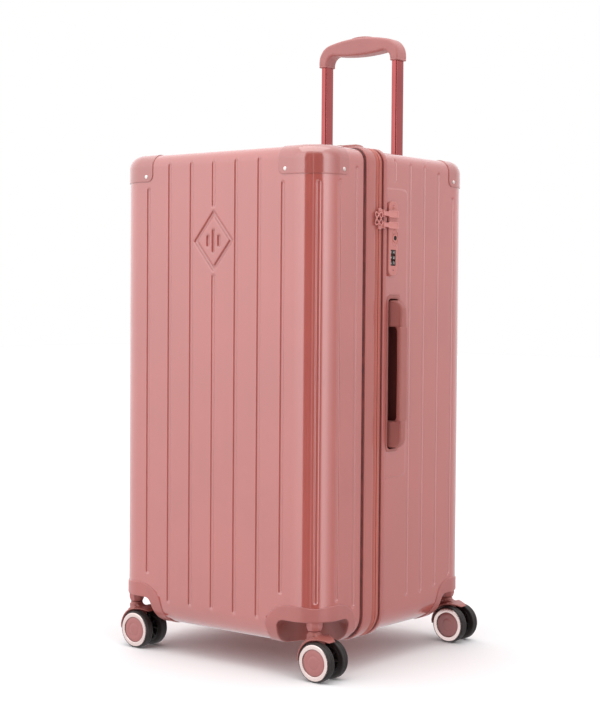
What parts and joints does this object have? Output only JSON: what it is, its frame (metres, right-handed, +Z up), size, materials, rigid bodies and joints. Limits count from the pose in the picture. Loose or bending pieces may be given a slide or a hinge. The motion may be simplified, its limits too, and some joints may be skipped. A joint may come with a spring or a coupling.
{
  "type": "hard shell suitcase on wheels",
  "caption": "Tall hard shell trunk suitcase with fluted halves, riveted corner guards, side lock, carry handles, telescopic trolley and swivelling casters.",
  "frame": {"origin": "on the floor, under the centre of the shells' outline", "axes": "+Z up, the front panel faces -Y, the zip lock and side handle face +X"},
  "size_m": [0.4187, 0.391, 0.9634],
  "materials": {
    "shell": "glossy moulded polycarbonate, rose pink",
    "trim": "semi-gloss",
    "guard": "semi-gloss",
    "housing": "fine matte texture",
    "zip": "woven tape and nylon coil",
    "gusset": "woven",
    "rivet": "polished",
    "lining": "woven polyester",
    "strap": "webbing",
    "buckle": "matte",
    "steel": "brushed",
    "tube": "anodised, rose pink",
    "grip": "soft matte",
    "dial": "matte",
    "key": "satin",
    "puller": "satin",
    "tyre": "rubber",
    "hub": "pale ring with a pink cap"
  },
  "bodies": {
    "root": {"back_shell": "shell", "back_edge_trim": "trim", "zip_tape_back": "zip", "zip_sliders": "puller", "hinge_gusset": "gusset", "corner_guards_back": "guard", "rivets_back": "rivet", "wheel_housings_back": "housing", "lining_back": "lining", "packing_straps": "strap", "strap_buckle": "buckle", "lock_housing": "housing", "side_handle_cup": "housing", "top_handle_cup": "housing", "trolley_bezel": "housing", "trolley_outer_tubes": "steel"},
    "lid": {"front_shell": "shell", "front_edge_trim": "trim", "zip_tape_front": "zip", "corner_guards_front": "guard", "rivets_front": "rivet", "wheel_housings_front": "housing", "lining_front": "lining"},
    "trolley_middle": {"trolley_middle_tubes": "tube"},
    "trolley_handle": {"trolley_inner_tubes": "tube", "trolley_grip": "grip"},
    "trolley_button": {"trolley_button": "grip"},
    "side_handle": {"side_handle": "grip"},
    "top_handle": {"top_handle": "grip"},
    "lock_button": {"lock_button": "grip"},
    "lock_dial_1": {"lock_dial_1": "dial"},
    "lock_dial_2": {"lock_dial_2": "dial"},
    "lock_dial_3": {"lock_dial_3": "dial"},
    "lock_key": {"lock_key_cylinder": "key"},
    "puller_upper": {"zip_puller_upper": "puller"},
    "puller_lower": {"zip_puller_lower": "puller"},
    "front_left_caster": {"front_left_fork": "housing", "front_left_axle": "steel"},
    "front_left_inner_wheel": {"front_left_inner_tyre": "tyre", "front_left_inner_hub": "hub"},
    "front_left_outer_wheel": {"front_left_outer_tyre": "tyre", "front_left_outer_hub": "hub"},
    "front_right_caster": {"front_right_fork": "housing", "front_right_axle": "steel"},
    "front_right_inner_wheel": {"front_right_inner_tyre": "tyre", "front_right_inner_hub": "hub"},
    "front_right_outer_wheel": {"front_right_outer_tyre": "tyre", "front_right_outer_hub": "hub"},
    "rear_left_caster": {"rear_left_fork": "housing", "rear_left_axle": "steel"},
    "rear_left_inner_wheel": {"rear_left_inner_tyre": "tyre", "rear_left_inner_hub": "hub"},
    "rear_left_outer_wheel": {"rear_left_outer_tyre": "tyre", "rear_left_outer_hub": "hub"},
    "rear_right_caster": {"rear_right_fork": "housing", "rear_right_axle": "steel"},
    "rear_right_inner_wheel": {"rear_right_inner_tyre": "tyre", "rear_right_inner_hub": "hub"},
    "rear_right_outer_wheel": {"rear_right_outer_tyre": "tyre", "rear_right_outer_hub": "hub"}
  },
  "joints": [
    {"name": "lid_hinge", "type": "hinge", "parent": "root", "child": "lid", "pos_m": [-0.202, -0.06, 0.4], "axis": [0, 0, -1], "range_deg": [0, 180]},
    {"name": "trolley_middle_slide", "type": "slide", "parent": "root", "child": "trolley_middle", "axis": [0, 0, 1], "range_m": [0, 0.13]},
    {"name": "trolley_handle_slide", "type": "slide", "parent": "trolley_middle", "child": "trolley_handle", "axis": [0, 0, 1], "range_m": [-0.19, 0]},
    {"name": "trolley_button_press", "type": "slide", "parent": "trolley_handle", "child": "trolley_button", "axis": [0, 0, -1], "range_m": [0, 0.0025], "stiffness_N_per_m": 300, "springref_m": -0.001},
    {"name": "side_handle_pull", "type": "slide", "parent": "root", "child": "side_handle", "axis": [1, 0, 0], "range_m": [0, 0.011], "stiffness_N_per_m": 250, "springref_m": -0.004},
    {"name": "top_handle_pull", "type": "slide", "parent": "root", "child": "top_handle", "axis": [0, 0, 1], "range_m": [0, 0.011], "stiffness_N_per_m": 250, "springref_m": -0.004},
    {"name": "lock_button_press", "type": "slide", "parent": "root", "child": "lock_button", "axis": [-1, 0, 0], "range_m": [0, 0.0022], "stiffness_N_per_m": 200, "springref_m": -0.001},
    {"name": "lock_key_turn", "type": "hinge", "parent": "root", "child": "lock_key", "pos_m": [0.2, -0.021, 0.625], "axis": [1, 0, 0], "range_deg": [0, 90]},
    {"name": "puller_upper_fold", "type": "hinge", "parent": "root", "child": "puller_upper", "pos_m": [0.2032, -0.0528, 0.6594], "axis": [0, 0, -1], "range_deg": [0, 150]},
    {"name": "puller_lower_fold", "type": "hinge", "parent": "root", "child": "puller_lower", "pos_m": [0.2032, -0.0528, 0.6432], "axis": [0, 0, -1], "range_deg": [0, 150]},
    {"name": "lock_dial_1_turn", "type": "hinge", "parent": "root", "child": "lock_dial_1", "pos_m": [0.1933, -0.025, 0.604], "axis": [0, 0, 1], "continuous": true},
    {"name": "lock_dial_2_turn", "type": "hinge", "parent": "root", "child": "lock_dial_2", "pos_m": [0.1933, -0.025, 0.5962], "axis": [0, 0, 1], "continuous": true},
    {"name": "lock_dial_3_turn", "type": "hinge", "parent": "root", "child": "lock_dial_3", "pos_m": [0.1933, -0.025, 0.5884], "axis": [0, 0, 1], "continuous": true},
    {"name": "front_left_swivel", "type": "hinge", "parent": "lid", "child": "front_left_caster", "pos_m": [-0.1737, -0.1708, 0.068], "axis": [0, 0, 1], "continuous": true},
    {"name": "front_left_inner_wheel_roll", "type": "hinge", "parent": "front_left_caster", "child": "front_left_inner_wheel", "pos_m": [-0.1572, -0.1548, 0.028], "axis": [0, 1, 0], "continuous": true},
    {"name": "front_left_outer_wheel_roll", "type": "hinge", "parent": "front_left_caster", "child": "front_left_outer_wheel", "pos_m": [-0.1572, -0.1868, 0.028], "axis": [0, 1, 0], "continuous": true},
    {"name": "front_right_swivel", "type": "hinge", "parent": "lid", "child": "front_right_caster", "pos_m": [0.1737, -0.1708, 0.068], "axis": [0, 0, 1], "continuous": true},
    {"name": "front_right_inner_wheel_roll", "type": "hinge", "parent": "front_right_caster", "child": "front_right_inner_wheel", "pos_m": [0.1902, -0.1548, 0.028], "axis": [0, 1, 0], "continuous": true},
    {"name": "front_right_outer_wheel_roll", "type": "hinge", "parent": "front_right_caster", "child": "front_right_outer_wheel", "pos_m": [0.1902, -0.1868, 0.028], "axis": [0, 1, 0], "continuous": true},
    {"name": "rear_left_swivel", "type": "hinge", "parent": "root", "child": "rear_left_caster", "pos_m": [-0.1737, 0.1708, 0.068], "axis": [0, 0, 1], "continuous": true},
    {"name": "rear_left_inner_wheel_roll", "type": "hinge", "parent": "rear_left_caster", "child": "rear_left_inner_wheel", "pos_m": [-0.1572, 0.1548, 0.028], "axis": [0, 1, 0], "continuous": true},
    {"name": "rear_left_outer_wheel_roll", "type": "hinge", "parent": "rear_left_caster", "child": "rear_left_outer_wheel", "pos_m": [-0.1572, 0.1868, 0.028], "axis": [0, 1, 0], "continuous": true},
    {"name": "rear_right_swivel", "type": "hinge", "parent": "root", "child": "rear_right_caster", "pos_m": [0.1737, 0.1708, 0.068], "axis": [0, 0, 1], "continuous": true},
    {"name": "rear_right_inner_wheel_roll", "type": "hinge", "parent": "rear_right_caster", "child": "rear_right_inner_wheel", "pos_m": [0.1902, 0.1548, 0.028], "axis": [0, 1, 0], "continuous": true},
    {"name": "rear_right_outer_wheel_roll", "type": "hinge", "parent": "rear_right_caster", "child": "rear_right_outer_wheel", "pos_m": [0.1902, 0.1868, 0.028], "axis": [0, 1, 0], "continuous": true}
  ]
}
